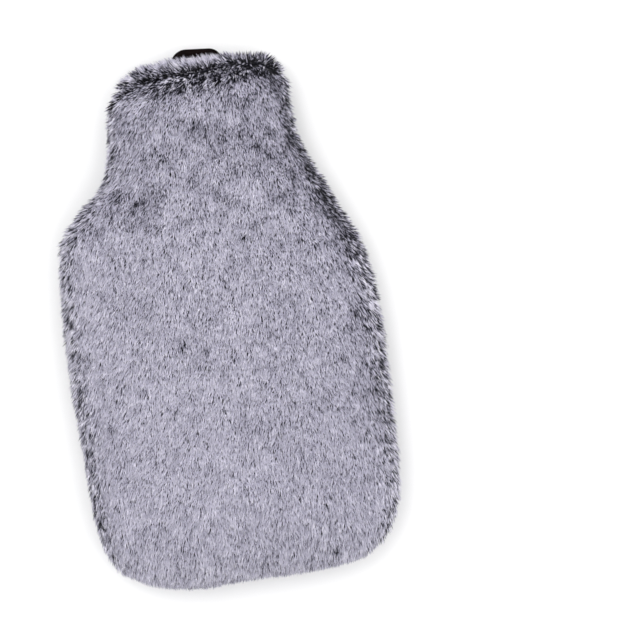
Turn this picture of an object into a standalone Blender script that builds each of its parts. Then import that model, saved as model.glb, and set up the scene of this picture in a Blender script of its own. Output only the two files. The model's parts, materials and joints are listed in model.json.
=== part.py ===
"""Faux fur cover for a hot water bottle, lying on its back.

Two panels of long-pile fur fabric meet at a seam round the bottom, the sides and the neck, and lie
open at the neck's top. A tape loop is sewn into the back panel's top edge. Lengths are in metres
unless a name or a table says mm, +Y runs towards the neck and +Z up out of the front.
"""
import math

import bmesh
import bpy
from mathutils import Vector, noise

MM = 0.001

# The outline that the pile reaches, and how far the front and back stand from the seam, in mm.
SECTION_COLUMNS = ("height", "left", "right", "rise", "drop")
SECTIONS = (
    (18, 94, 96, 32, 24),
    (30, 103, 105, 32, 24),
    (48, 108, 112, 33, 24),
    (80, 110, 115, 34, 24),
    (150, 114, 116, 34, 24),
    (195, 116, 116, 34, 24),
    (226, 115, 112, 34, 24),
    (246, 114, 106, 33, 24),
    (263, 110, 97, 32, 24),
    (280, 99, 90, 31, 24),
    (297, 82, 81, 30, 24),
    (316, 72, 74, 29, 24),
    (338, 68, 69, 28, 24),
    (356, 66, 68, 27, 24),
    (372, 60, 65, 26, 22),
)

# The hollow for the bottle: its inset from the outline, and its reach from the seam, in mm.
HOLLOW_COLUMNS = ("height", "inset", "up", "down")
HOLLOW = (
    (19, 46, 5, 5),
    (27, 29, 13, 10),
    (42, 21, 19, 13),
    (75, 18, 22, 15),
    (290, 18, 20, 15),
    (335, 17, 17, 14),
    (358, 14, 13, 9),
    (374, 12, 8, 4.5),
    (402, 12, 8, 4.5),
)
HOLLOW_SIDES = 28
HOLLOW_RINGS = 30
HOLLOW_ROUNDNESS = 2.4  # 2 is an ellipse, and more is squarer

SEAM_LEVEL = 24 * MM  # height of the seam above what the cover lies on
SEAM_GAP = 0.3 * MM
CORNER_HEIGHT = 18 * MM  # where the bottom edge turns into the sides
BOTTOM_POWER = 3.6  # how flat the bottom edge is before its corners
TOP_POWER = 5.0

PANELS = {
    "front_panel": {"side": 1, "columns": 42, "rows": 58, "top": 379 * MM, "corner": 364 * MM},
    "back_panel": {"side": -1, "columns": 34, "rows": 44, "top": 388 * MM, "corner": 370 * MM},
}

RIM_WALL = 5 * MM  # thickness of the pile at the seam
EDGE_POWER = 2.8  # roundness of the faces towards the sides and the bottom
END_LENGTH = 70 * MM
LIP_LENGTH = 34 * MM
LIP_FALL = 0.42  # share of the rise that is gone at the mouth
FLAT_GAIN = 1.12  # spreads the part of the back that rests on the surface

LUMP_HEIGHT = 1.7 * MM  # the pile's soft swells
LUMP_SIZE = Vector((20 * MM, 32 * MM, 20 * MM))
TUFT_HEIGHT = 1.2 * MM
TUFT_SIZE = Vector((8 * MM, 15 * MM, 8 * MM))
LOCK_REACH = 3.4 * MM  # the jagged locks round the rim
LOCK_COMB = 4.0 * MM
LIP_ROUND = (7 * MM, 1.5 * MM)  # how far the mouth's edges and the row beside them turn outwards

LOOP_CENTRE = 4 * MM  # across the neck, along the tape's middle line
LOOP_WIDTH = 29.5 * MM
LOOP_CREST = 390.6 * MM
LOOP_LEG = 19 * MM
LOOP_CORNER = 8 * MM
LOOP_TAPE = (6.4 * MM, 4.0 * MM)  # in the cover's plane, and across it
LOOP_LEVEL = 15 * MM
LOOP_ROUNDING = 0.8 * MM
CORNER_STEPS = 5
LOOP_GAP_DEPTH = 7 * MM  # how far the pile parts below the crest
FIT_GAP = 0.3 * MM

FUR_COLOUR = (0.30, 0.29, 0.37, 1.0)
TAPE_COLOUR = (0.012, 0.012, 0.016, 1.0)


def clear_scene():
    for item in list(bpy.data.objects):
        bpy.data.objects.remove(item, do_unlink=True)


def new_collection(name):
    collection = bpy.data.collections.new(name)
    bpy.context.scene.collection.children.link(collection)
    return collection


def new_material(name, colour, roughness):
    material = bpy.data.materials.new(name)
    material.use_nodes = True
    shader = material.node_tree.nodes["Principled BSDF"]
    shader.inputs["Base Color"].default_value = colour
    shader.inputs["Roughness"].default_value = roughness
    shader.inputs["Metallic"].default_value = 0.0
    return material


def column_value(table, columns, name, height):
    """One column of a table at a height in metres, in metres, along a smooth curve."""
    at = columns.index(name)
    mm = min(max(height / MM, table[0][0]), table[-1][0])
    low = max(i for i, row in enumerate(table[:-1]) if row[0] <= mm)
    here, above = table[low], table[low + 1]
    step = above[0] - here[0]

    def slope(row):
        before, after = table[max(row - 1, 0)], table[min(row + 1, len(table) - 1)]
        return (after[at] - before[at]) / (after[0] - before[0])

    t = (mm - here[0]) / step
    first, last = slope(low) * step, slope(low + 1) * step
    bend = (2 * t - 3) * t * t
    value = (1 + bend) * here[at] + (t - 1) ** 2 * t * first - bend * above[at]
    return (value + (t - 1) * t * t * last) * MM


def section(name, height):
    return column_value(SECTIONS, SECTION_COLUMNS, name, height)


def panel_place(panel, across, along):
    """Place in the seam's plane: across is -1 to 1, along is 0 at the bottom and 1 at the mouth."""
    height = CORNER_HEIGHT + along * (panel["corner"] - CORNER_HEIGHT)
    left, right = section("left", height), section("right", height)
    x = -left + (across + 1) / 2 * (left + right)
    bottom = CORNER_HEIGHT * (abs(across) ** BOTTOM_POWER - 1)
    top = (panel["top"] - panel["corner"]) * (1 - abs(across) ** TOP_POWER)
    y = height + (1 - along) ** 3 * bottom + along ** 3 * top
    return x, y


def rounding(distance, length):
    """Rises from 0 at an edge to 1 at a length in from it, as a pillow does."""
    inwards = min(distance / length, 1)
    return math.sqrt(1 - (1 - inwards) ** EDGE_POWER)


def fullness(panel, across, along):
    """How far a face stands out at a place, from 0 at the seam to 1 in its middle."""
    length = panel["corner"] - CORNER_HEIGHT
    sides = math.sqrt(1 - abs(across) ** EDGE_POWER)
    bottom = rounding(along * length, END_LENGTH)
    lip = 1 - LIP_FALL * (1 - rounding((1 - along) * length, LIP_LENGTH))
    return sides * bottom * lip


def pile_relief(x, y):
    place = Vector((x, y, 0))

    def swell(size):
        return noise.noise(Vector(a / b for a, b in zip(place, size)))

    return LUMP_HEIGHT * swell(LUMP_SIZE) + TUFT_HEIGHT * swell(TUFT_SIZE)


def outer_point(panel, across, along):
    """A point of the pile's face, standing off the seam by its fullness and its relief."""
    x, y = panel_place(panel, across, along)
    full = fullness(panel, across, along)
    relief = pile_relief(x, y) * min(1, 3 * full)
    if panel["side"] > 0:
        return x, y, SEAM_LEVEL + RIM_WALL + full * (section("rise", y) - RIM_WALL) + relief
    down = RIM_WALL + min(1, FLAT_GAIN * full) * (section("drop", y) - RIM_WALL)
    if SEAM_LEVEL - down < 0.1 * MM:
        return x, y, 0.0  # rests on the surface
    return x, y, max(SEAM_LEVEL - down + min(relief, 0.5 * MM), 0.4 * MM)


def lock_offset(index, outwards):
    """Every second point of the rim is the tip of a lock, combed towards the bottom."""
    reach = LOCK_REACH * (0.7 + 0.6 * noise.noise(Vector((index * 0.37, 0, 0))))
    return outwards * reach + Vector((0, -LOCK_COMB * abs(outwards.x), 0))


def rim_direction(panel, across, along):
    """Outwards from the outline, in the seam's plane."""
    x, y = panel_place(panel, across, along)
    inwards = 0.98
    in_x, in_y = panel_place(panel, across * inwards, 0.5 + (along - 0.5) * inwards)
    return Vector((x - in_x, y - in_y, 0)).normalized()


def make_panel(name, panel, parts, material):
    """A closed slab: a grid for the flat side at the seam, and its extruded copy for the pile."""
    mesh = bpy.data.meshes.new(name)
    shape = bmesh.new()
    columns, rows = panel["columns"], panel["rows"]
    bmesh.ops.create_grid(shape, x_segments=columns, y_segments=rows, size=1)
    spots = {v: (v.co.x, (v.co.y + 1) / 2) for v in shape.verts}
    flat = list(shape.faces)
    pile = bmesh.ops.extrude_face_region(shape, geom=flat, use_keep_orig=True)["geom"]
    pile = {v: (v.co.x, (v.co.y + 1) / 2) for v in pile if isinstance(v, bmesh.types.BMVert)}
    side = panel["side"]
    for vert, (across, along) in spots.items():
        x, y = panel_place(panel, across, along)
        from_mouth = round((1 - along) * rows)
        turned = LIP_ROUND[from_mouth] if from_mouth < len(LIP_ROUND) else 0
        turned *= 1 - across ** 4
        vert.co = (x, y, SEAM_LEVEL + side * (SEAM_GAP / 2 + turned))
    for vert, (across, along) in pile.items():
        vert.co = outer_point(panel, across, along)
    for places, parity in ((spots, 0), (pile, 1)):
        for vert, (across, along) in places.items():
            on_rim = abs(across) > 0.999 or along < 0.001
            index = round((across + 1) / 2 * columns) + round(along * rows)
            if on_rim and index % 2 == parity:
                vert.co += lock_offset(index, rim_direction(panel, across, along))
    level = SEAM_LEVEL + side * SEAM_GAP / 2
    flat = [face for face in flat if all(abs(v.co.z - level) < 0.01 * MM for v in face.verts)]
    bmesh.ops.dissolve_faces(shape, faces=flat)
    bmesh.ops.recalc_face_normals(shape, faces=shape.faces)
    shape.to_mesh(mesh)
    shape.free()
    return add_object(name, mesh, parts, material)


def add_object(name, mesh, collection, material=None):
    item = bpy.data.objects.new(name, mesh)
    collection.objects.link(item)
    if material:
        mesh.materials.append(material)
        mesh.shade_smooth()
        mesh.set_sharp_from_angle(angle=math.radians(50))
    else:
        item.hide_render = True
        item.display_type = "WIRE"
    return item


def make_hollow(cutters):
    """The space for the bottle: a globe whose rings follow the hollow's table, out past the mouth."""
    mesh = bpy.data.meshes.new("hollow_cutter")
    shape = bmesh.new()
    bmesh.ops.create_uvsphere(shape, u_segments=HOLLOW_SIDES, v_segments=HOLLOW_RINGS, radius=1)
    first, last = HOLLOW[0][0] * MM, HOLLOW[-1][0] * MM
    for vert in shape.verts:
        ring = HOLLOW_RINGS * math.acos(max(-1, min(1, vert.co.z))) / math.pi
        share = min(max((ring - 1) / (HOLLOW_RINGS - 2), 0), 1)
        height = first + share * (last - first)
        inset, up, down = (
            column_value(HOLLOW, HOLLOW_COLUMNS, name, height) for name in HOLLOW_COLUMNS[1:]
        )
        left, right = section("left", height) - inset, section("right", height) - inset
        middle = (right - left) / 2
        turn = Vector((vert.co.x, vert.co.y))
        if turn.length < 0.01:
            vert.co = (middle, height, SEAM_LEVEL)  # the globe's two poles
            continue
        turn.normalize()
        squared = [math.copysign(abs(c) ** (2 / HOLLOW_ROUNDNESS), c) for c in turn]
        x = middle + squared[0] * (right + left) / 2
        vert.co = (x, height, SEAM_LEVEL + squared[1] * (up if turn.y > 0 else down))
    bmesh.ops.recalc_face_normals(shape, faces=shape.faces)
    shape.to_mesh(mesh)
    shape.free()
    return add_object("hollow_cutter", mesh, cutters)


def loop_line():
    """The tape's middle line: up one leg, round two corners and along the crest, in the plane."""
    half, turn = LOOP_WIDTH / 2, LOOP_CORNER
    points = [(-half, LOOP_CREST - LOOP_LEG)]
    for step in range(CORNER_STEPS + 1):
        angle = math.radians(180 - 90 * step / CORNER_STEPS)
        x = turn - half + turn * math.cos(angle)
        points.append((x, LOOP_CREST - turn + turn * math.sin(angle)))
    return points + [(-x, y) for x, y in reversed(points)]


def make_loop(name, collection, material, grow):
    """A strip along the middle line, thickened to the tape's section, and larger all round by grow."""
    mesh = bpy.data.meshes.new(name)
    shape = bmesh.new()
    width, depth = (size + 2 * grow for size in LOOP_TAPE)
    verts = [shape.verts.new((LOOP_CENTRE + x, y, LOOP_LEVEL - depth / 2)) for x, y in loop_line()]
    edges = [shape.edges.new(pair) for pair in zip(verts, verts[1:])]
    raised = bmesh.ops.extrude_edge_only(shape, edges=edges)["geom"]
    raised = [v for v in raised if isinstance(v, bmesh.types.BMVert)]
    bmesh.ops.translate(shape, verts=raised, vec=(0, 0, depth))
    if grow:
        for vert in shape.verts:
            if vert.co.y < LOOP_CREST - LOOP_LEG + grow:
                vert.co.y -= grow
    shape.to_mesh(mesh)
    shape.free()
    item = add_object(name, mesh, collection, material)
    wall = item.modifiers.new("tape thickness", "SOLIDIFY")
    wall.thickness = width
    wall.offset = 0
    wall.use_even_offset = True
    if not grow:
        bevel = item.modifiers.new("tape edges", "BEVEL")
        bevel.width = LOOP_ROUNDING
        bevel.segments = 2
        bevel.limit_method = "ANGLE"
        bevel.angle_limit = math.radians(60)
    return item


def make_parting(cutters):
    """The box in which the pile parts between the loop's legs."""
    width = LOOP_WIDTH - LOOP_TAPE[0]
    low = LOOP_CREST - LOOP_TAPE[0] / 2 - LOOP_GAP_DEPTH
    high = LOOP_CREST
    mesh = bpy.data.meshes.new("parting_cutter")
    shape = bmesh.new()
    bmesh.ops.create_cube(shape, size=1)
    for vert in shape.verts:
        x, y, z = vert.co
        y = low + (y + 0.5) * (high - low)
        vert.co = (LOOP_CENTRE + x * width, y, SEAM_LEVEL + z * 4 * SEAM_LEVEL)
    shape.to_mesh(mesh)
    shape.free()
    return add_object("parting_cutter", mesh, cutters)


def cut(item, cutter):
    modifier = item.modifiers.new(cutter.name, "BOOLEAN")
    modifier.operation = "DIFFERENCE"
    modifier.solver = "EXACT"
    modifier.object = cutter


def centre_on_origin(collection):
    """Moves the cover so that the middle of its lowest face stands over the origin."""
    bpy.context.view_layer.update()
    graph = bpy.context.evaluated_depsgraph_get()
    corners = [
        Vector(corner)
        for item in collection.objects
        for corner in item.evaluated_get(graph).bound_box
    ]
    middle = [(min(c[i] for c in corners) + max(c[i] for c in corners)) / 2 for i in (0, 1)]
    holder = bpy.data.objects.new("cover_holder", None)
    bpy.context.scene.collection.objects.link(holder)
    holder.location = (-middle[0], -middle[1], 0)
    for item in bpy.data.objects:
        if item is not holder:
            item.parent = holder


def main():
    clear_scene()
    parts = new_collection("hot_water_bottle_cover")
    cutters = new_collection("cutters")
    fur = new_material("frosted_fur", FUR_COLOUR, 0.9)
    tape = new_material("black_tape", TAPE_COLOUR, 0.45)
    hollow = make_hollow(cutters)
    for name, panel in PANELS.items():
        cut(make_panel(name, panel, parts, fur), hollow)
    make_loop("hanging_loop", parts, tape, 0)
    back = parts.objects["back_panel"]
    cut(back, make_parting(cutters))
    cut(back, make_loop("loop_cutter", cutters, None, FIT_GAP))
    centre_on_origin(parts)


main()
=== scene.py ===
import json
import math

import bmesh
import bpy
import numpy as np
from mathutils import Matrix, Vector, noise

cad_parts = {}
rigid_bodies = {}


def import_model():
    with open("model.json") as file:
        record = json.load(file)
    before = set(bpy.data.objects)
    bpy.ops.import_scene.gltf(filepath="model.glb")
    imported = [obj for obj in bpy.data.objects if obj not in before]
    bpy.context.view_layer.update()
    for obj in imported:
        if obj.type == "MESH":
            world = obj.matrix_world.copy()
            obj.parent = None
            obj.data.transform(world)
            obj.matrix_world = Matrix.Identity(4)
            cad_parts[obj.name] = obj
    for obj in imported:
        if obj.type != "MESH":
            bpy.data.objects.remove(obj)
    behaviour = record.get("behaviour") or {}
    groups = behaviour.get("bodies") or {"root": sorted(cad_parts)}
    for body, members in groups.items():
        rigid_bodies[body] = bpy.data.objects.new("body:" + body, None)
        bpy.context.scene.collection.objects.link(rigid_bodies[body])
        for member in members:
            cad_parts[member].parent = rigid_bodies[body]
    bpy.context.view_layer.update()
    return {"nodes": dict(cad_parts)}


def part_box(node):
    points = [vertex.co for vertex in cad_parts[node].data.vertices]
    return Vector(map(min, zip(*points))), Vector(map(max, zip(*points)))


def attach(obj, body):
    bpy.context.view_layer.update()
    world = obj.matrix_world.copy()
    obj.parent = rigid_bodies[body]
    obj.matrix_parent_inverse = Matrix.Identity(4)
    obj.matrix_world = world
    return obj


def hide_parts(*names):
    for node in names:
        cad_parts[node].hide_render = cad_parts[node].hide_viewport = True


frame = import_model()
print("frame loaded:", len(frame["nodes"]), "parts")

mm = 0.001

# The outline that the pile's tips reach, and how far front and back stand from the seam, in mm.
cover = {
    "height": [18, 30, 48, 80, 150, 195, 226, 246, 263, 280, 297, 316, 338, 356, 372],
    "left": [94.6, 102.8, 108.8, 112, 115, 116, 115, 114, 110, 98, 80, 71.5, 68, 66, 57.5],
    "right": [96, 106, 115, 118.5, 118, 116.5, 112, 106, 97, 89.5, 80.5, 72.7, 69.5, 70, 69],
    "rise": [32, 32, 33, 34, 34, 34, 34, 33, 32, 31, 30, 29, 28, 27, 26],
    "drop": [24, 24, 24, 24, 24, 24, 24, 24, 24, 24, 24, 24, 24, 24, 22],
    "loopTop": 393.8,  # height of the tape loop's top, which ties this table to the frame
    "loopCentre": 4.0,
}

frontBox, backBox, loopBox = (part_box(name) for name in ("front_panel", "back_panel", "hanging_loop"))
zeroPlace = Vector((
    (loopBox[0][0] + loopBox[1][0]) / 2 - cover["loopCentre"] * mm,
    loopBox[1][1] - cover["loopTop"] * mm,
    (frontBox[0][2] + backBox[1][2]) / 2,
))  # the middle of the bottom edge, at the seam


class Wire:  # a node's output, which can stand in a sum
    def __init__(self, graph, made, output):
        self.graph, self.made, self.socket = graph, made, output

    def out(self, name):
        return Wire(self.graph, self.made, self.graph.find(self.made.outputs, name))

    def isVector(self):
        return self.socket.type == "VECTOR"

    def sum(self, operation, first, second):
        vectors = [isinstance(value, Wire) and value.isVector() for value in (first, second)]
        if not any(vectors):
            return self.graph.node("ShaderNodeMath", {"operation": operation}, {0: first, 1: second})
        if operation == "MULTIPLY" and not all(vectors):
            vector, factor = (first, second) if vectors[0] else (second, first)
            values = {"Vector": vector, "Scale": factor}
            return self.graph.node("ShaderNodeVectorMath", {"operation": "SCALE"}, values)
        return self.graph.node("ShaderNodeVectorMath", {"operation": operation}, {0: first, 1: second})

    def __add__(self, other):
        return self.sum("ADD", self, other)

    def __radd__(self, other):
        return self.sum("ADD", other, self)

    def __sub__(self, other):
        return self.sum("SUBTRACT", self, other)

    def __rsub__(self, other):
        return self.sum("SUBTRACT", other, self)

    def __mul__(self, other):
        return self.sum("MULTIPLY", self, other)

    def __rmul__(self, other):
        return self.sum("MULTIPLY", other, self)


class Graph:  # a node tree, and the one way to add a node to it
    def __init__(self, tree):
        self.tree = tree

    def find(self, sockets, name):  # by place, by identifier or by name
        if isinstance(name, int):
            return sockets[name]
        byIdentifier = [s for s in sockets if s.identifier == name]
        return byIdentifier[0] if byIdentifier else sockets[name]

    def node(self, kind, settings=None, values=None, output=0):
        made = self.tree.nodes.new(kind)
        for name, value in (settings or {}).items():
            if name == "stops":
                while len(made.color_ramp.elements) < len(value):
                    made.color_ramp.elements.new(1)
                for element, (place, colour) in zip(made.color_ramp.elements, value):
                    element.position, element.color = place, colour
            else:
                setattr(made, name, value)
        for name, value in (values or {}).items():
            socket = self.find(made.inputs, name)
            if isinstance(value, Wire):
                self.tree.links.new(value.socket, socket)
            else:
                socket.default_value = value
        return Wire(self, made, self.find(made.outputs, output)) if made.outputs else made


def linear(*shown):  # a colour as a paint program shows it, for a shader
    return (*(((c / 255 + 0.055) / 1.055) ** 2.4 if c > 10 else c / 255 / 12.92 for c in shown), 1)


def newMaterial(name):
    material = bpy.data.materials.new(name)
    material.use_nodes = True
    material.node_tree.nodes.clear()
    return material, Graph(material.node_tree)


def mixColours(graph, factor, first, second):
    values = {"Factor_Float": factor, "A_Color": first, "B_Color": second}
    return graph.node("ShaderNodeMix", {"data_type": "RGBA"}, values, "Result_Color")


def finishMaterial(graph, colour, finish, bump=None):  # finish: what is the same all over
    values = {"Base Color": colour, **finish}
    if bump:
        values["Normal"] = graph.node("ShaderNodeBump", {}, bump)
    shader = graph.node("ShaderNodeBsdfPrincipled", {}, values)
    graph.node("ShaderNodeOutputMaterial", {}, {"Surface": shader})


# A lock's map runs along it in X and holds its shade in Y.
pileLook = {
    "root": linear(14, 14, 24),
    "tips": [(0.0, linear(108, 108, 124)), (0.3, linear(154, 152, 171)), (0.65, linear(204, 201, 219)),
             (1.0, linear(246, 243, 255))],  # from the darkest lock to the palest
    "frostStart": 0.80,  # along a lock, where a dark lock turns pale
    "frostEarlier": 0.72,  # how much sooner a pale one does
    "frostLength": 0.30,
    "finish": {"Roughness": 0.6, "Specular IOR Level": 0.18, "Sheen Weight": 0.06, "Sheen Roughness": 0.5},
}


def makePileMaterial(look):
    material, graph = newMaterial("frostedPile")
    lockMap = graph.node("ShaderNodeUVMap", {"uv_map": "OFBake"})
    place = graph.node("ShaderNodeSeparateXYZ", {}, {0: lockMap})
    along, shade = place.out("X"), place.out("Y")
    start = look["frostStart"] - shade * look["frostEarlier"]
    frost = graph.node("ShaderNodeMapRange", {"interpolation_type": "SMOOTHSTEP"},
                       {"Value": along, "From Min": start, "From Max": start + look["frostLength"]})
    tip = graph.node("ShaderNodeValToRGB", {"stops": look["tips"]}, {"Fac": shade})
    finishMaterial(graph, mixColours(graph, frost, look["root"], tip), look["finish"])
    return material


clothLook = {
    "ground": {"name": "pileGround", "dark": linear(8, 8, 14), "pale": linear(24, 24, 36), "grain": 0.8},
    "backing": {"name": "knitBacking", "dark": linear(70, 70, 80), "pale": linear(128, 127, 138),
                "grain": 1.2},
    "flecks": 0.6,  # the flecks' share in the cloth's pattern, and the ribs' share
    "ribs": 0.4,
    "fleckForm": {"Detail": 3.0},
    "ribForm": {"Distortion": 1.5, "Detail": 1.0},
    "ribScale": 0.16,  # against the flecks' scale
    "bump": {"Strength": 0.6, "Distance": 0.3 * mm},
    "finish": {"Roughness": 0.9, "Specular IOR Level": 0.2},
}


def makeClothMaterial(side):  # the ground that the pile stands in, or the knitted back
    look = clothLook[side]
    grain = look["grain"] * mm
    material, graph = newMaterial(look["name"])
    place = graph.node("ShaderNodeTexCoord", output="Object")
    flecks = graph.node("ShaderNodeTexNoise", {},
                        {"Vector": place, "Scale": 1 / grain, **clothLook["fleckForm"]})
    ribs = graph.node("ShaderNodeTexWave", {"bands_direction": "X"},
                      {"Vector": place, "Scale": clothLook["ribScale"] / grain, **clothLook["ribForm"]})
    cloth = flecks * clothLook["flecks"] + ribs.out("Fac") * clothLook["ribs"]
    colour = mixColours(graph, cloth, look["dark"], look["pale"])
    finishMaterial(graph, colour, clothLook["finish"], {**clothLook["bump"], "Height": cloth})
    return material


pileMaterial = makePileMaterial(pileLook)
groundMaterial = makeClothMaterial("ground")
backingMaterial = makeClothMaterial("backing")
print("materials made")

# The two hides that the pile stands on. Noise is given as its height, its size in mm and its start.
hides = {
    "columns": 56,
    "rows": 84,
    "rowPower": 1.5,  # rows stand closer at the bottom
    "foldSteps": 6,
    "hemSteps": 5,
    "finer": 2.5,  # how much finer the pile's own grid is
    "hemDepth": 18.0,
    "thickness": 1.0,
    "inset": 6.3,  # the pile's reach past the hide at the seam
    "cornerHeight": 24.0,
    "endPower": 3,  # how fast the bottom's and the top's curves fade towards the middle
    "bottomDrop": 17.2,  # how far the bottom edge hangs below its corners
    "bottomPower": 3.6,  # how square those corners are
    "bottomRise": 3.4,  # how much higher its right half lies
    "riseStart": (-0.4, 0.05),  # shares of the way across, from -1 to 1
    "riseEnd": (0.45, 0.9),
    "topPowers": (3.0, 4.8),  # how square the top's left and right corners are
    "topWobble": (2.2, 11, 1.9),
    "edgePower": 2.8,  # how square a section across is
    "endLength": 64.0,  # from the bottom edge to where the hide is at its full height
    "lipLength": 34.0,  # from where it starts to fall to the top edge
    "lipFall": 0.42,  # the share that it falls by there
    "flatGain": 1.12,  # widens the flat that the back rests on
    "rimLift": 0.3,  # from the seam
    "lumps": [(1, 22, 3.1), (0.5, 9, 7.7)],
    "foldPower": 6,  # how suddenly the top edge's fold narrows at its two ends
    "leastFold": 0.3,
    "front": {"side": 1, "reach": "rise", "top": 373.2, "corner": 359.0, "tilts": (1.4, 7.0), "pile": 6.8,
              "fold": 2.6, "lump": 1.2},
    "back": {"side": -1, "reach": "drop", "top": 379.0, "corner": 368.8, "tilts": (-0.3, -0.8), "pile": 4.6,
             "fold": 2.9, "lump": 0.25},
}


def smooth(low, high, value):
    t = np.clip((value - low) / (high - low), 0, 1)
    return t * t * (3 - 2 * t)


def bell(distance, width):
    return np.exp(-(distance / width) ** 2)


def noiseAt(x, y, z, wave):
    height, size, start = wave
    spots = np.stack([np.broadcast_to(v, x.shape).ravel() / size for v in (x, y, z)], -1) + start
    return height * np.array([noise.noise(Vector(spot)) for spot in spots.tolist()]).reshape(x.shape)


def alongTable(name, heights):  # smooth curve through a column of the cover's table
    at, column = np.array(cover["height"], float), np.array(cover[name], float)
    rows = np.arange(len(at))
    before, after = np.maximum(rows - 1, 0), np.minimum(rows + 1, len(at) - 1)
    slope = (column[after] - column[before]) / (at[after] - at[before])
    height = np.clip(heights, at[0], at[-1])
    low = np.clip(np.searchsorted(at, height, side="right") - 1, 0, len(at) - 2)
    step = at[low + 1] - at[low]
    t = (height - at[low]) / step
    bend = (2 * t - 3) * t * t
    value = (1 + bend) * column[low] - bend * column[low + 1]
    return value + ((t - 1) ** 2 * slope[low] + (t - 1) * t * slope[low + 1]) * t * step


def rounding(distance, length):  # 0 at an edge, 1 at a length in from it
    return np.sqrt(1 - (1 - np.clip(distance / length, 0, 1)) ** hides["edgePower"])


def hideOutline(shape, across, along, length):  # mm across and up, for shares of the way across and up
    height = hides["cornerHeight"] + along * length
    left, right = (alongTable(name, height) - hides["inset"] for name in ("left", "right"))
    x = -left + (across + 1) / 2 * (left + right)
    drop = hides["bottomDrop"] * (1 - np.abs(across) ** hides["bottomPower"])
    risen = smooth(*hides["riseStart"], across)
    drop = drop - hides["bottomRise"] * risen * (1 - smooth(*hides["riseEnd"], across))
    topShare = along ** hides["endPower"]
    arch = 1 - np.abs(across) ** np.where(across < 0, *hides["topPowers"])
    tilt = across * np.where(across < 0, *shape["tilts"])
    y = height - (1 - along) ** hides["endPower"] * drop
    y = y + topShare * (shape["top"] - shape["corner"]) * arch
    return x, y + topShare * (tilt + noiseAt(x, 0, 0, hides["topWobble"]))


def hideHeight(shape, x, y, across, along, length):  # mm out from the seam
    full = np.sqrt(np.clip(1 - np.abs(across) ** hides["edgePower"], 0, 1))
    full = full * rounding(along * length, hides["endLength"])
    full = full * (1 - hides["lipFall"] * (1 - rounding((1 - along) * length, hides["lipLength"])))
    if shape["side"] < 0:
        full = np.minimum(1, hides["flatGain"] * full)  # the back is flat where it rests
    reach = alongTable(shape["reach"], y) - shape["pile"] - hides["rimLift"]
    lumps = sum(noiseAt(x, y, 0, wave) for wave in hides["lumps"])
    return hides["rimLift"] + full * (reach + shape["lump"] * lumps)


def hidePoints(shape, finer=1):  # in mm and placed, row by row, with each row's way past the top edge
    counts = ("columns", "rows", "foldSteps", "hemSteps")
    columns, rows, foldSteps, hemSteps = (round(hides[name] * finer) for name in counts)
    across = np.sin(np.linspace(-1, 1, columns + 1) * math.pi / 2)
    along = np.linspace(0, 1, rows + 1) ** hides["rowPower"]
    across, along = np.meshgrid(across, along)
    length = shape["corner"] - hides["cornerHeight"]
    x, y = hideOutline(shape, across, along, length)
    z = hideHeight(shape, x, y, across, along, length)
    places = [np.stack([x, y, z], -1)]
    past = list((along[:, 0] - 1) * length)
    radius = shape["fold"] * (1 - across[-1] ** hides["foldPower"]) + hides["leastFold"]
    for turn in np.linspace(0, math.pi, foldSteps + 1)[1:]:
        step = np.stack([0 * radius, radius * math.sin(turn), radius * (math.cos(turn) - 1)], -1)
        ring = places[0][-1] + step
        places.append(ring[None])
        past.append(shape["fold"] * turn)
    for depth in np.linspace(0, hides["hemDepth"], hemSteps + 1)[1:]:
        places.append((ring - np.array([0, depth, 0]))[None])
        past.append(shape["fold"] * math.pi + depth)
    places = np.concatenate(places)
    placed = np.array(zeroPlace) + places * np.array([1, 1, shape["side"]]) * mm
    return places, placed, np.array(past)


def gridMesh(name, placed, flipped):
    rows, columns = placed.shape[:2]
    at = np.arange(rows * columns).reshape(rows, columns)
    faces = np.stack([at[:-1, :-1], at[:-1, 1:], at[1:, 1:], at[1:, :-1]], -1).reshape(-1, 4)
    mesh = bpy.data.meshes.new(name)
    mesh.from_pydata(placed.reshape(-1, 3).tolist(), [], (faces[:, ::-1] if flipped else faces).tolist())
    mesh.shade_smooth()
    return mesh


def addObject(name, data, *materials):
    item = bpy.data.objects.new(name, data)
    bpy.context.scene.collection.objects.link(item)
    for material in materials:
        data.materials.append(material)
    return item


def plainMesh(item):  # an object's mesh with its modifiers worked in
    depsgraph = bpy.context.evaluated_depsgraph_get()
    evaluated = item.evaluated_get(depsgraph)
    mesh = bpy.data.meshes.new_from_object(evaluated, preserve_all_data_layers=True, depsgraph=depsgraph)
    item.modifiers.clear()
    item.data = mesh
    return mesh


def makeHide(name, shape):
    placed = hidePoints(shape)[1]
    item = addObject(name, gridMesh(name, placed, shape["side"] < 0), groundMaterial, backingMaterial)
    wall = item.modifiers.new("hideThickness", "SOLIDIFY")
    wall.thickness = hides["thickness"] * mm
    wall.offset = -1
    wall.material_offset = 1
    plainMesh(item)
    return item


frontHide = makeHide("frontHide", hides["front"])
backHide = makeHide("backHide", hides["back"])
print("hides made")

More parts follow.
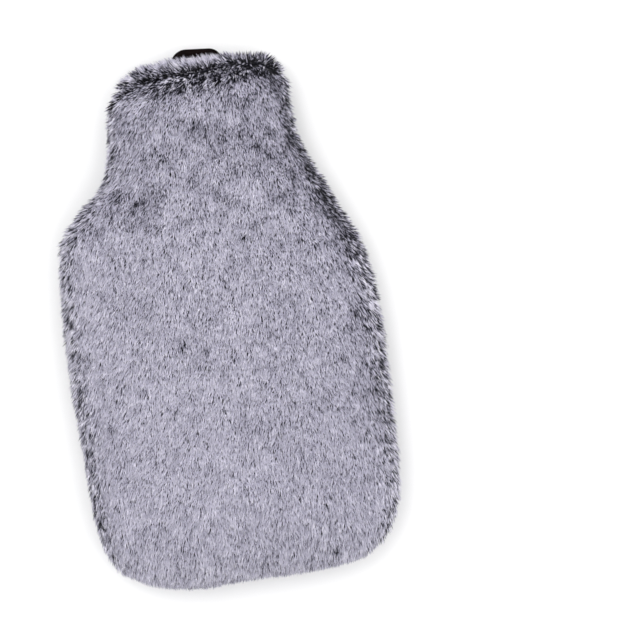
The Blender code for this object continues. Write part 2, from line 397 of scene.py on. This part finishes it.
# How the pile lies on the hides, and its frost: how soon a lock turns pale. Heights and distances
# are in mm, turns and leans in degrees. "right" and "left" run from -1 to 1, "off" from 0 in the
# middle to 1 at the seam, and "past" is the way past the top edge.
# Frost lowered at the rims, along the right slope and in the crevice below the front's folded edge paints
# shade there.
lie = {
    "front": {"length": 8.7, "lean": 42, "slopeLean": 56, "turn": 6, "fans": (24, -31), "frost": 0.71},
    "back": {"length": 9.4, "lean": 60, "slopeLean": 60, "turn": 0, "fans": (24, -30), "frost": 0.64},
    "rimLeans": (44, 34),  # at the left and right rims, like the fans
    "zones": {  # what a zone is measured by, where it starts and where it is full
        "slope": ("off", 0.45, 0.80),
        "rim": ("off", 0.66, 0.93),
        "brink": ("off", 0.88, 1),
        "leftSide": ("left", 0.35, 0.9),
        "leftShoulder": ("left", 0.4, 0.8),
        "leftCorner": ("left", 0.6, 0.9),
        "leftHem": ("left", 0.15, 0.5),
        "leftGaps": ("left", 0.3, 0.6),
        "rightHalf": ("right", -0.1, 0.6),
        "rightNeck": ("right", 0.2, 0.7),
        "rightHem": ("right", 0.3, 0.6),
        "rightFringe": ("right", 0.15, 0.42),
        "rightSweep": ("right", 0.1, 0.75),
        "rightSeam": ("right", 0.7, 0.9),
        "bottomEnd": ("height", 0, 40),
        "bottomRim": ("height", 2, 16),
        "bottomPart": ("height", 20, 70),
        "bottomSpread": ("height", 4, 60),
        "seamStart": ("height", 30, 130),
        "high": ("height", 70, 190),
        "shoulder": ("height", 190, 240),
        "upper": ("height", 205, 255),
        "neckFoot": ("height", 215, 260),
        "neckNoise": ("height", 235, 270),
        "neck": ("height", 255, 300),
        "neckTop": ("height", 296, 326),
        "napTurn": ("past", -14, -4),
        "edgeTurn": ("past", -26, -6),
        "edgeRuffle": ("past", -4, 1),
        "edgeGaps": ("past", -11, -4),
        "foldShade": ("past", -2, 3),
        "foldCoat": ("past", -1, 2),
        "foldInside": ("past", 5, 8),
        "inner": ("past", 3, 9),
        "innerRuffle": ("past", 7, 11),
        "hemEnd": ("past", 20, 26),
    },
    "patches": {  # what a patch is measured by, its middle and its width
        "leftShoulder": ("height", 266, 34),
        "leftRim": ("right", -0.82, 0.12),
        "middle": ("right", 0.05, 0.3),
        "paleFringe": ("right", 0.03, 0.28),
        "apex": ("past", 4.5, 3.8),
    },
    "waves": {  # a noise's height, size and start
        "turn": (9, 26, 1.3),
        "tuftTurn": (22, 7, 5.9),
        "lean": (6, 16, 8.2),
        "tuftLean": (8, 4, 2.4),
        "length": (0.10, 14, 4.4),
        "frost": (0.08, 7, 6.6),
        "wideFrost": (0.05, 34, 9.1),
        "neckFrost": (0.20, 10, 21.3),
        "streaks": (1, 1.8, 14.4),
        "seam": (0.6, 6, 12.5),
        "hem": (5, 7, 15.5),
        "hemLean": (20, 3, 16.1),
        "edgeTurn": (40, 7, 17.2),
        "edgeRuffle": (70, 5, 17.9),
        "gaps": (1, 8, 30.1),
        "fringe": (0.9, 2.4, 19.5),
        "sweep": (42, 6, 18.3),
        "innerRuffle": (70, 5, 20.7),
    },
    "streakLength": 3,  # times its width
    "gapLength": 2,
    "turn": {"drift": 5, "lowFan": 0.2, "highFan": 0.8, "lowLeft": 19, "leftShoulder": 20, "parting": 40,
             "edge": 8, "edgeAcross": 30, "sweep": 80, "sweepOver": 160},
    "lean": {"lowRim": 14, "hem": 6, "apex": 30, "inner": 12, "limits": (12, 80)},
    "length": {"brink": 0.04, "fringe": 0.04},
    # Of these, "rim", "bottomRim", "seam", "backSeam", "hem" and "fold", with their streaks, darken the
    # pile as painted shade.
    "frost": {"rightHalf": 0.05, "brink": 0.14, "lowRim": 0.6, "highRim": 0.4, "rim": 0.18,
              "rimStreaks": 1.3, "leftRim": 0.045, "bottomRim": 0.13, "bottomStreaks": 0.9,
              "bottomPart": 0.05, "neck": 0.067, "neckFoot": 0.7, "seam": 0.36, "parting": 0.26,
              "hem": 0.27, "hemStreaks": 1.3, "fold": 0.2, "gaps": 0.22, "middleGaps": 0.36,
              "leftGaps": 0.6, "fringe": 0.02, "leftFringe": 0.12, "rightFringe": 0.52,
              "paleFringe": 0.28, "backSeam": 0.12, "least": 0.10},
    "spread": {"least": 0.20, "high": 0.035, "rim": 0.34, "bottom": 0.14, "hem": 0.26, "fringe": 0.12,
               "rightFringe": 0.2},
    "coat": {"rim": 0.35, "right": 0.4, "fold": 0.45, "foldInside": 0.5, "behind": 0.9, "fringe": 2.2,
             "hemEnd": 0.85},
    # where the band of painted shade down the right slope lies, how wide it is and how strong
    "seam": {"place": 0.71, "upperPlace": 0.12, "width": 0.15, "low": 0.32, "upper": 0.66, "neckTop": 0.40},
    # The dark stretch: painted shade in the crevice below the front's folded edge.
    "hem": {"start": -10, "middleStart": 3.6, "rightStart": 4, "fade": 8, "middleFade": 2.5, "middle": 0.3,
            "left": 0.62, "corner": 0.1},  # the dark stretch below the front's folded edge
    "gaps": (0.02, 0.3),  # the noise where a gap in the pile starts and where it is full
    "mottles": [(-78, 268, 30, -0.06), (36, 293, 13, 0.12), (0, 336, 7, -0.22), (92, 212, 16, 0.06),
                (104, 130, 14, -0.07), (-50, 215, 15, -0.05)],  # place, size and change of frost
    "partings": [(-62, 292), (-1, 339), (5, 333), (30, 328), (-53, 283), (98, 193), (-28, 181), (-12, 176),
                 (44, 16), (64, 23), (41, 320), (-20, 92), (84, 160), (-86, 128)],  # where the pile parts
    "partingSize": 2.7,
    "partingLength": 1.4,  # times its width
}


class Spots:  # the points of one hide, and what the tables above say there
    def __init__(self, places, side, past):
        self.x, self.y, self.z = places[..., 0], places[..., 1], places[..., 2] * side
        self.share, self.past = np.meshgrid(np.linspace(-1, 1, places.shape[1]), past)
        self.measures = {"right": self.share, "left": -self.share, "off": np.abs(self.share),
                         "height": self.y, "past": self.past}

    def zone(self, name):  # 0 before a zone and 1 where it is full
        measure, start, full = lie["zones"][name]
        return smooth(start, full, self.measures[measure])

    def patch(self, name):
        measure, middle, width = lie["patches"][name]
        return bell(self.measures[measure] - middle, width)

    def wave(self, name, stretch=1):
        return noiseAt(self.x, self.y / stretch, self.z, lie["waves"][name])


def layBoth(spots, settings):  # what front and back have in common
    zone, patch, wave, isLeft = spots.zone, spots.patch, spots.wave, spots.share < 0
    turns, leans, frosts, spreads, coats = (
        lie[name] for name in ("turn", "lean", "frost", "spread", "coat"))
    rim, brink, high = zone("rim"), zone("brink"), zone("high")
    bottom = 1 - zone("bottomEnd")

    fan = np.where(isLeft, *settings["fans"]) * rim * (turns["lowFan"] + turns["highFan"] * high)
    turn = settings["turn"] - turns["drift"] * spots.share + fan
    turn = turn - turns["lowLeft"] * zone("leftSide") * (1 - high)
    turn = turn - turns["leftShoulder"] * zone("leftShoulder") * patch("leftShoulder")
    turn = turn + wave("turn") + wave("tuftTurn")

    lean = settings["lean"] + (settings["slopeLean"] - settings["lean"]) * zone("slope") * (1 - bottom)
    rimLean = np.where(isLeft, *lie["rimLeans"]) + leans["lowRim"] * (1 - high) * (1 - bottom)
    lean = lean + (rimLean - lean) * np.maximum(brink, bottom)
    lean = lean + wave("lean") + wave("tuftLean")
    length = settings["length"] * (1 + lie["length"]["brink"] * brink + wave("length"))

    streaks = wave("streaks", lie["streakLength"])
    # Lowering the frost at the rims and along the bottom edge paints shade there. It also stands for the
    # dark roots that show where the pile lies outward, and the streaks break it into single locks.
    rimShare = rim * (frosts["lowRim"] + frosts["highRim"] * high)
    rimShade = frosts["rim"] - frosts["rimStreaks"] * streaks
    bottomEdgeShade = frosts["bottomRim"] - frosts["bottomStreaks"] * streaks
    neckFrost = zone("neck") + frosts["neckFoot"] * zone("rightNeck") * zone("neckFoot")
    frost = settings["frost"] + wave("frost") + wave("wideFrost")
    frost = frost - frosts["rightHalf"] * zone("rightHalf") + frosts["brink"] * brink
    frost = frost - rimShare * rimShade - frosts["leftRim"] * patch("leftRim") * (1 - zone("shoulder"))
    frost = frost - (1 - zone("bottomRim")) * bottomEdgeShade
    frost = frost - frosts["bottomPart"] * (1 - zone("bottomPart"))
    frost = frost + wave("neckFrost") * zone("neckNoise") - frosts["neck"] * neckFrost
    spread = spreads["least"] + spreads["high"] * high + spreads["rim"] * rim
    spread = spread + spreads["bottom"] * (1 - zone("bottomSpread"))
    coat = 1 - coats["rim"] * rim * (1 + coats["right"] * np.sign(spots.share))
    return turn, lean, length, frost, spread, coat


def layFront(spots, turn, lean, length, frost, spread, coat):
    zone, patch, wave = spots.zone, spots.patch, spots.wave
    turns, frosts, coats, seam, hem = (lie[name] for name in ("turn", "frost", "coat", "seam", "hem"))
    for across, height in lie["partings"]:
        aside, above = spots.x - across, (spots.y - height) / lie["partingLength"]
        parting = bell(np.hypot(aside, above), lie["partingSize"])
        turn = turn - turns["parting"] * parting * aside / lie["partingSize"]
        frost = frost - frosts["parting"] * parting
    for across, height, size, change in lie["mottles"]:
        frost = frost + change * bell(np.hypot(spots.x - across, spots.y - height), size)

    upper = zone("upper")
    # A band down the right slope has its frost lowered. This is painted shade, on the side turned away from
    # the light that falls from the upper left.
    strength = seam["low"] * zone("seamStart") + seam["upper"] * upper - seam["neckTop"] * zone("neckTop")
    slopeShade = bell(spots.share - seam["place"] - seam["upperPlace"] * upper, seam["width"]) * strength
    frost = frost - frosts["seam"] * slopeShade * (1 + wave("seam"))

    # The dark stretch below the front's folded edge and the dark line at the fold are painted crevice
    # shade, where dark roots also show.
    middle = patch("middle")
    start = hem["start"] - hem["middleStart"] * middle + hem["rightStart"] * zone("rightHem")
    dark = smooth(start, start + hem["fade"] + hem["middleFade"] * middle, spots.past + wave("hem"))
    strength = 1 + hem["middle"] * middle - hem["left"] * zone("leftHem")
    dark = dark * (strength - hem["corner"] * zone("leftCorner"))
    gaps = smooth(*lie["gaps"], wave("gaps", lie["gapLength"])) * zone("edgeGaps")
    gaps = (frosts["gaps"] + frosts["middleGaps"] * middle) * gaps
    edgeTurn = turns["edge"] - turns["edgeAcross"] * spots.share + wave("edgeTurn")
    turn = turn + edgeTurn * zone("edgeTurn") + wave("edgeRuffle") * zone("edgeRuffle")
    lean = lean + lie["lean"]["hem"] * dark + wave("hemLean") * dark
    frost = frost - (frosts["hem"] - frosts["hemStreaks"] * wave("streaks", lie["streakLength"])) * dark
    frost = frost - frosts["fold"] * zone("foldShade")
    frost = frost - gaps * (1 - frosts["leftGaps"] * zone("leftGaps"))
    spread = spread + lie["spread"]["hem"] * dark
    coat = coat * (1 - coats["fold"] * zone("foldCoat") - coats["foldInside"] * zone("foldInside"))
    return turn, lean, length, frost, spread, coat


def layBack(spots, turn, lean, length, frost, spread, coat):  # its top edge stands up as a fringe
    zone, patch, wave = spots.zone, spots.patch, spots.wave
    turns, leans, frosts, spreads, coats = (
        lie[name] for name in ("turn", "lean", "frost", "spread", "coat"))
    apex, inner = patch("apex"), zone("inner")
    raised = np.maximum(inner, apex)
    corner = zone("rightFringe") * raised
    lean = lean + (leans["apex"] - lean) * apex - leans["inner"] * inner
    fringe = frosts["fringe"] - wave("fringe") - frosts["leftFringe"] * zone("leftCorner")
    frost = frost - raised * fringe - frosts["rightFringe"] * corner
    frost = frost + frosts["paleFringe"] * raised * patch("paleFringe")
    # The back's upper right seam has its frost lowered: painted shade.
    frost = frost - frosts["backSeam"] * zone("rightSeam") * zone("upper") * (1 - raised)
    spread = spread + spreads["fringe"] * raised + spreads["rightFringe"] * corner
    length = length * (1 - lie["length"]["fringe"] * raised)
    sweep = turns["sweep"] - turns["sweepOver"] * zone("rightSweep")  # left, and round the right corner
    turn = turn * (1 - raised) + raised * (sweep + noiseAt(spots.x, 0, 0, lie["waves"]["sweep"]))
    turn = turn + wave("innerRuffle") * zone("innerRuffle")
    coat = coat * (coats["behind"] + coats["fringe"] * apex) * (1 - coats["hemEnd"] * zone("hemEnd"))
    return turn, lean, length, frost, spread, coat


def unit(vectors):
    return vectors / np.maximum(np.linalg.norm(vectors, axis=-1, keepdims=True), 1e-9)


def pileDirections(skin, placed, spots, turn, lean):
    normal = np.empty(placed.size)
    skin.vertices.foreach_get("normal", normal)
    normal = normal.reshape(placed.shape)
    straight = unit(np.array([0.0, 1.0, 0.0]) - normal * normal[..., 1:2])
    up, sideways = (unit(np.gradient(placed, axis=k)) for k in (0, 1))
    up = straight + (up - straight) * spots.zone("napTurn")[..., None]  # the nap runs straight down
    turn = np.radians(turn)[..., None]
    lean = np.radians(np.clip(lean, *lie["lean"]["limits"]))[..., None]
    comb = -up * np.cos(turn) - sideways * np.sin(turn)
    comb -= normal * np.sum(comb * normal, -1, keepdims=True)
    return unit(normal * np.cos(lean) + comb * np.sin(lean))


def layPile(name, shape, settings, layOwn):  # a finer copy of the hide that says how its pile lies
    places, placed, past = hidePoints(shape, hides["finer"])
    skin = gridMesh(name, placed, shape["side"] < 0)
    spots = Spots(places, shape["side"], past)
    turn, lean, length, frost, spread, coat = layOwn(spots, *layBoth(spots, settings))
    direction = pileDirections(skin, placed, spots, turn, lean)
    skin.attributes.new("hairDir", "FLOAT_VECTOR", "POINT").data.foreach_set(
        "vector", direction.astype(np.float32).ravel())
    numbers = {"pileLength": length * mm, "frost": np.maximum(frost, lie["frost"]["least"]),
               "spread": spread, "coat": coat}
    for word, values in numbers.items():
        layer = skin.attributes.new(word, "FLOAT", "POINT").data
        layer.foreach_set("value", values.astype(np.float32).ravel())
    return skin


frontSkin = layPile("frontSkin", hides["front"], lie["front"], layFront)
backSkin = layPile("backSkin", hides["back"], lie["back"], layBack)
print("pile laid")

# The locks of the pile, which Geometry Nodes grows on the skins.
locks = {
    "shapes": [(0.5, 0.0), (1.0, 0.4), (1.5, -0.35), (0.8, -0.7)],  # bow and sway, in lock widths
    "belly": 0.5,  # where along a lock it is widest
    "jitter": 0.24,  # how far a single lock strays
    "widths": (0.65, 1.25),  # of the lock width
    "lengths": (0.72, 1.08),  # of the pile's length
    "pulls": (0.5, 1.4),  # of a clump's or a wisp's pull
    "tufts": {"Clump": {"seed": 3, "tint": 0.11}, "Wisp": {"seed": 5, "tint": 0.03}},
    "tintSeed": 7,
    "shades": (0.02, 0.98),  # the darkest and the palest lock, inside the map
    "seeds": {"jitter": 40, "shade": 50, "pull": 60, "width": 70, "length": 80, "shape": 90},
    "mapStart": 0.01,  # where a lock's map begins in X, and how far it runs
    "mapLength": 0.98,
    "inputs": {
        "Clumps Per Square Metre": 420000.0,
        "Wisps Per Square Metre": 30000.0,
        "Clump Pull": 0.36,
        "Wisp Pull": 0.10,
        "Lock Width": 0.7 * mm,
        "Map Step": 0.0011,  # between a lock's two sides in the map
    },
    "front": {"pieces": 3, "count": 147000, "seed": 100},
    "back": {"pieces": 2, "count": 88000, "seed": 200},
    "floor": 0.3,  # the least height of the pile, in mm
}


def makeLockShapes():
    collection = bpy.data.collections.new("lockShapes")
    belly = locks["belly"]
    for number, (bow, sway) in enumerate(locks["shapes"]):
        mesh = bpy.data.meshes.new(f"lock{number}")
        middle = [(bow, sway + half, belly) for half in (-0.5, 0.5)]
        faces = [(0, 2, 1), (1, 2, 3), (0, 1, 3), (0, 3, 2)]
        mesh.from_pydata([(0, 0, 0), *middle, (0, 0, 1)], [], faces)
        mesh.shade_smooth()
        mesh.materials.append(pileMaterial)
        for name, values in (("along", [0, belly, belly, 1]), ("side", [0, -1, 1, 0])):
            mesh.attributes.new(name, "FLOAT", "POINT").data.foreach_set("value", values)
        collection.objects.link(bpy.data.objects.new(mesh.name, mesh))
    return collection


class PileGraph(Graph):  # the pile's tree, with its inputs and the nodes that it needs more than once
    inputs = {
        "Hide": "Geometry", "Locks": "Collection", "Locks Per Square Metre": "Float",
        "Clumps Per Square Metre": "Float", "Wisps Per Square Metre": "Float", "Clump Pull": "Float",
        "Wisp Pull": "Float", "Lock Width": "Float", "Map Step": "Float", "Material": "Material",
        "Seed": "Int",
    }

    def __init__(self):
        super().__init__(bpy.data.node_groups.new("pileTree", "GeometryNodeTree"))
        self.tree.is_modifier = True
        self.sockets = {}
        for name, kind in self.inputs.items():
            made = self.tree.interface.new_socket(name, in_out="INPUT", socket_type="NodeSocket" + kind)
            self.sockets[name] = made.identifier
        self.tree.interface.new_socket("Pile", in_out="OUTPUT", socket_type="NodeSocketGeometry")
        self.given = self.node("NodeGroupInput")

    def attribute(self, name, kind="FLOAT"):
        settings = {"data_type": kind}
        return self.node("GeometryNodeInputNamedAttribute", settings, {"Name": name}, "Attribute")

    def points(self, density, seed):
        values = {"Mesh": self.given.out("Hide"), "Density": density, "Seed": seed}
        return self.node("GeometryNodeDistributePointsOnFaces", {}, values, "Points")

    def seed(self, name):
        return self.given.out("Seed") + locks["seeds"][name]

    def chance(self, low, high, seed):
        values = {"Min_001": low, "Max_001": high, "Seed": seed}
        return self.node("FunctionNodeRandomValue", {"data_type": "FLOAT"}, values, "Value_001")

    def sample(self, points, value, index, kind="FLOAT"):
        values = {"Geometry": points, "Value": value, "Index": index}
        return self.node("GeometryNodeSampleIndex", {"data_type": kind}, values)

    def store(self, geometry, name, value, kind, domain):
        values = {"Geometry": geometry, "Name": name, "Value": value}
        settings = {"data_type": kind, "domain": domain}
        return self.node("GeometryNodeStoreNamedAttribute", settings, values)


def gatherLocks(graph, lock, shade, tip, place):  # clumps and wisps draw their locks' tips together
    for name, tuft in locks["tufts"].items():
        centres = graph.points(graph.given.out(f"{name}s Per Square Metre"), tuft["seed"])
        nearest = graph.node("GeometryNodeSampleNearest", {},
                             {"Geometry": centres, "Sample Position": place})
        tint = graph.chance(-tuft["tint"], tuft["tint"], tuft["seed"] + locks["tintSeed"])
        pull = graph.chance(*locks["pulls"], graph.seed("pull") + tuft["seed"])
        pull = graph.given.out(f"{name} Pull") * pull
        lock = lock + (graph.sample(centres, tip, nearest, "FLOAT_VECTOR") - place - lock) * pull
        shade = shade + graph.sample(centres, tint, nearest)
    return lock, shade


def makePileTree():
    graph = PileGraph()
    given, attribute = graph.given, graph.attribute
    place = graph.node("GeometryNodeInputPosition")
    hairDir, pileLength = attribute("hairDir", "FLOAT_VECTOR"), attribute("pileLength")
    points = graph.points(given.out("Locks Per Square Metre") * attribute("coat"), given.out("Seed"))
    jitter = graph.node("FunctionNodeRandomValue", {"data_type": "FLOAT_VECTOR"},
                        {"Min": (-1, -1, -1), "Max": (1, 1, 1), "Seed": graph.seed("jitter")}, "Value")
    lock = (hairDir + jitter * locks["jitter"]) * pileLength
    shade = attribute("frost") + attribute("spread") * graph.chance(-1.0, 1.0, graph.seed("shade"))
    lock, shade = gatherLocks(graph, lock, shade, place + hairDir * pileLength, place)
    darkest, palest = locks["shades"]
    shade = graph.node("ShaderNodeClamp", {}, {"Value": shade, "Min": darkest, "Max": palest})
    turned = graph.node("FunctionNodeAxesToRotation", {"primary_axis": "Z", "secondary_axis": "X"},
                        {"Primary Axis": lock, "Secondary Axis": points.out("Normal")})
    width = given.out("Lock Width") * graph.chance(*locks["widths"], graph.seed("width"))
    reach = pileLength * graph.chance(*locks["lengths"], graph.seed("length"))
    size = graph.node("ShaderNodeCombineXYZ", {}, {"X": width, "Y": width, "Z": reach})
    shapes = graph.node("GeometryNodeCollectionInfo", {}, {
        "Collection": given.out("Locks"), "Separate Children": True, "Reset Children": True})
    pick = graph.node("FunctionNodeRandomValue", {"data_type": "INT"}, {
        "Min_002": 0, "Max_002": len(locks["shapes"]) - 1, "Seed": graph.seed("shape")}, "Value_002")
    grown = graph.node("GeometryNodeInstanceOnPoints", {}, {
        "Points": graph.store(points, "shade", shade, "FLOAT", "POINT"), "Instance": shapes,
        "Pick Instance": True, "Instance Index": pick, "Rotation": turned, "Scale": size})
    grown = graph.node("GeometryNodeRealizeInstances", {}, {"Geometry": grown})
    mapped = graph.node("ShaderNodeCombineXYZ", {}, {
        "X": attribute("along") * locks["mapLength"] + locks["mapStart"],
        "Y": attribute("shade") + attribute("side") * given.out("Map Step")})
    grown = graph.store(grown, "OFBake", mapped, "FLOAT2", "CORNER")
    grown = graph.node("GeometryNodeSetMaterial", {},
                       {"Geometry": grown, "Material": given.out("Material")})
    graph.node("NodeGroupOutput", {}, {"Pile": grown})
    return graph


def skinArea(skin):  # with the coat's thin places counted as thin
    shape = bmesh.new()
    shape.from_mesh(skin)
    layer = shape.verts.layers.float["coat"]
    area = sum(f.calc_area() * sum(v[layer] for v in f.verts) / len(f.verts) for f in shape.faces)
    shape.free()
    return area


def pressFlat(mesh):  # by what the cover lies on
    place = np.empty(len(mesh.vertices) * 3, np.float32)
    mesh.vertices.foreach_get("co", place)
    place = place.reshape(-1, 3)
    place[:, 2] = np.maximum(place[:, 2], locks["floor"] * mm)
    mesh.vertices.foreach_set("co", place.ravel())
    mesh.update()


def growPile(name, skin, run):
    density = run["count"] / run["pieces"] / skinArea(skin)
    pieces = []
    for number in range(run["pieces"]):
        item = addObject(f"{name}{number + 1}", skin.copy())
        modifier = item.modifiers.new("pile", "NODES")
        modifier.node_group = pileGraph.tree
        values = {"Locks": lockShapes, "Locks Per Square Metre": density, "Material": pileMaterial,
                  "Seed": run["seed"] + number, **locks["inputs"]}
        for given, value in values.items():
            modifier[pileGraph.sockets[given]] = value
        mesh = plainMesh(item)
        for layer in ("hairDir", "pileLength", "frost", "spread", "coat", "shade", "along", "side", "id"):
            if layer in mesh.attributes:
                mesh.attributes.remove(mesh.attributes[layer])
        pressFlat(mesh)
        pieces.append(item)
        print(item.name, "grown:", len(mesh.polygons), "faces")
    return pieces


pileGraph = makePileTree()
lockShapes = makeLockShapes()
frontPile = growPile("frontPile", frontSkin, locks["front"])
backPile = growPile("backPile", backSkin, locks["back"])
for helper in list(lockShapes.objects):
    bpy.data.objects.remove(helper)
bpy.data.collections.remove(lockShapes)

# The tape loop, in mm. Its two corners differ, and its crest rises to the left.
loop = {
    "halfWidth": 15.8,  # of the tape's middle line
    "crest": 391.2,
    "tilt": 0.07,
    "leg": 19.0,
    "corners": (9.0, 5.8),
    "shift": -0.8,
    "wide": 6.4,
    "thick": 3.6,
    "section": 0.5,  # 1 for a round section, and squarer towards 0
    "level": -9.0,  # from the seam
    "legSteps": 4,
    "cornerSteps": 10,
    "roundSteps": 12,
}


def loopLine():  # the tape's middle line, from its left end to its right end
    half, crest = loop["halfWidth"], loop["crest"]
    sides = []
    for turn in loop["corners"]:
        rise = (loop["leg"] - turn) / loop["legSteps"]
        side = [(-half, crest - loop["leg"] + k * rise) for k in range(loop["legSteps"])]
        for step in range(loop["cornerSteps"] + 1):
            angle = math.radians(180 - 90 * step / loop["cornerSteps"])
            side.append((turn - half + turn * math.cos(angle), crest - turn + turn * math.sin(angle)))
        sides.append(side)
    return np.array(sides[0] + [(0.0, crest)] + [(-x, y) for x, y in reversed(sides[1])])


def loopRings():
    line = loopLine()
    ahead = unit(np.gradient(line, axis=0))
    outward = np.stack([-ahead[:, 1], ahead[:, 0]], -1)
    line[:, 1] -= loop["tilt"] * line[:, 0]
    for place, out in zip(line, outward):
        ring = []
        for k in range(loop["roundSteps"]):
            angle = 2 * math.pi * k / loop["roundSteps"]
            c, s = math.cos(angle), math.sin(angle)
            wide = loop["wide"] / 2 * math.copysign(abs(c) ** loop["section"], c)
            thick = loop["thick"] / 2 * math.copysign(abs(s) ** loop["section"], s)
            x = cover["loopCentre"] + loop["shift"] + place[0] + out[0] * wide
            ring.append(zeroPlace + Vector((x, place[1] + out[1] * wide, loop["level"] + thick)) * mm)
        yield ring


def makeLoopMesh():
    shape = bmesh.new()
    verts = [[shape.verts.new(place) for place in ring] for ring in loopRings()]
    for low, high in zip(verts, verts[1:]):
        for k in range(len(low)):
            shape.faces.new((low[k - 1], low[k], high[k], high[k - 1]))
    shape.faces.new(verts[0])
    shape.faces.new(verts[-1])
    bmesh.ops.recalc_face_normals(shape, faces=shape.faces)
    mesh = bpy.data.meshes.new("tapeLoop")
    shape.to_mesh(mesh)
    shape.free()
    mesh.shade_smooth()
    return mesh


tapeLook = {
    "dark": linear(2, 1, 2),
    "worn": linear(20, 11, 9),
    "wearForm": {"Scale": 160.0, "Detail": 2.0},
    "ribForm": {"Scale": 260.0, "Distortion": 0.4},
    "bump": {"Strength": 0.4, "Distance": 0.15 * mm},
    "finish": {"Roughness": 0.7, "Specular IOR Level": 0.05},
}


def makeTapeMaterial(look):
    material, graph = newMaterial("satinTape")
    place = graph.node("ShaderNodeTexCoord", output="Object")
    ribs = graph.node("ShaderNodeTexWave", {"bands_direction": "X"}, {"Vector": place, **look["ribForm"]})
    wear = graph.node("ShaderNodeTexNoise", {}, {"Vector": place, **look["wearForm"]})
    colour = mixColours(graph, wear, look["dark"], look["worn"])
    finishMaterial(graph, colour, look["finish"], {**look["bump"], "Height": ribs.out("Fac")})
    return material


tapeLoop = addObject("tapeLoop", makeLoopMesh(), makeTapeMaterial(tapeLook))
print("loop made")

# Each piece joins the frame's root body, and the frame's own parts are hidden.
for item in (frontHide, backHide, tapeLoop, *frontPile, *backPile):
    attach(item, "root")
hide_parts("front_panel")
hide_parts("back_panel")
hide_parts("hanging_loop")

# The floor and the lights in metres, and the camera in mm.
studio = {
    "floorReach": 4,
    "floorColour": (0.92, 0.92, 0.92, 1),
    "floorFinish": {"Roughness": 0.9, "Specular IOR Level": 0.1},
    "lights": {
        "keyLight": {"place": (-0.7, 0.9, 2.2), "size": 1.8, "power": 17},
        "fillLight": {"place": (1.4, -0.9, 2.2), "size": 2.0, "power": 12},
    },
    "lightAim": (0, 0, 0.03),
    "sky": {"Color": (1, 1, 1, 1), "Strength": 1.1},
    "aim": (71.7, -9.3),  # the picture's centre
    "aimHeight": 28.0,
    "distance": 2172.0,
    "pictureWidth": 467.2,  # what the picture spans there
    "turn": -6.6,
    "sensor": 36.0,
}


def addFloor():
    shape = bmesh.new()
    bmesh.ops.create_grid(shape, x_segments=1, y_segments=1, size=studio["floorReach"])
    mesh = bpy.data.meshes.new("floor")
    shape.to_mesh(mesh)
    shape.free()
    material, graph = newMaterial("paperFloor")
    finishMaterial(graph, studio["floorColour"], studio["floorFinish"])
    floor = addObject("floor", mesh, material)


def addLight(name, settings):
    light = bpy.data.lights.new(name, "AREA")
    light.size, light.energy = settings["size"], settings["power"]
    item = addObject(name, light)
    item.location = settings["place"]
    toAim = Vector(studio["lightAim"]) - Vector(settings["place"])
    item.rotation_euler = toAim.to_track_quat("-Z", "Y").to_euler()


def addCamera():
    lens = bpy.data.cameras.new("camera")
    lens.sensor_width = studio["sensor"]
    lens.lens = studio["sensor"] * studio["distance"] / studio["pictureWidth"]
    camera = addObject("camera", lens)
    camera.location = Vector((*studio["aim"], studio["aimHeight"] + studio["distance"])) * mm
    camera.rotation_euler = (0, 0, math.radians(studio["turn"]))
    bpy.context.scene.camera = camera


addFloor()
for name, settings in studio["lights"].items():
    addLight(name, settings)
world = bpy.data.worlds.new("studio")
world.use_nodes = True
for name, value in studio["sky"].items():
    world.node_tree.nodes["Background"].inputs[name].default_value = value
bpy.context.scene.world = world
bpy.context.scene.view_settings.view_transform = "Standard"
addCamera()
print("studio made")
